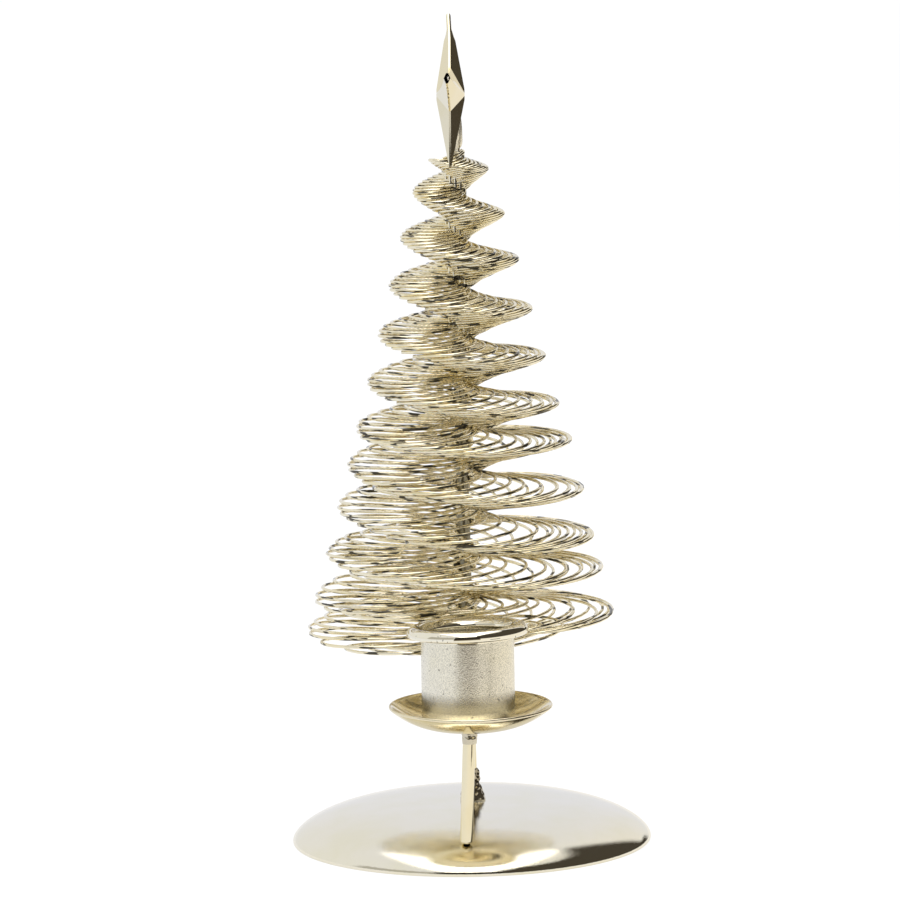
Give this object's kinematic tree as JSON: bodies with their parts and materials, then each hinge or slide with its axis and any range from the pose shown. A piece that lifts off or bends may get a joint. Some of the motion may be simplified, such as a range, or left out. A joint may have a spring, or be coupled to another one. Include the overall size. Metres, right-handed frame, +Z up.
{
  "type": "christmas tree candle holder",
  "caption": "Table candle holder with a domed foot, a spiral wire Christmas tree on a rod, a hollow star on its tip, and a lipped candle cup on a drip pan in front.",
  "frame": {"origin": "on the table, under the middle of the footprint of the foot and the drip pan; the tree's rod stands 6.9 mm behind it", "axes": "+Z up; the candle cup is at the front, towards -Y; +X is to the viewer's right"},
  "size_m": [0.1, 0.1138, 0.2323],
  "materials": {
    "satin_plate": "satin pale champagne-gold plating",
    "bright_plate": "mirror-bright champagne-gold plating",
    "wire_plate": "bright champagne-gold plated wire",
    "star_plate": "mirror-bright champagne-gold plating on pressed facets",
    "pan_plate": "bright champagne-gold plating",
    "cup_plate": "satin champagne-gold plating with a bright lip",
    "braze": "lumpy plated braze"
  },
  "bodies": {
    "root": {"base_dome": "satin_plate", "tree_stem": "bright_plate", "stem_foot_braze": "braze", "wire_tree": "wire_plate", "star_left_shell": "star_plate", "star_right_shell": "star_plate", "cup_post": "bright_plate", "pan_braze": "braze", "drip_pan": "pan_plate", "candle_cup": "cup_plate"}
  },
  "joints": []
}
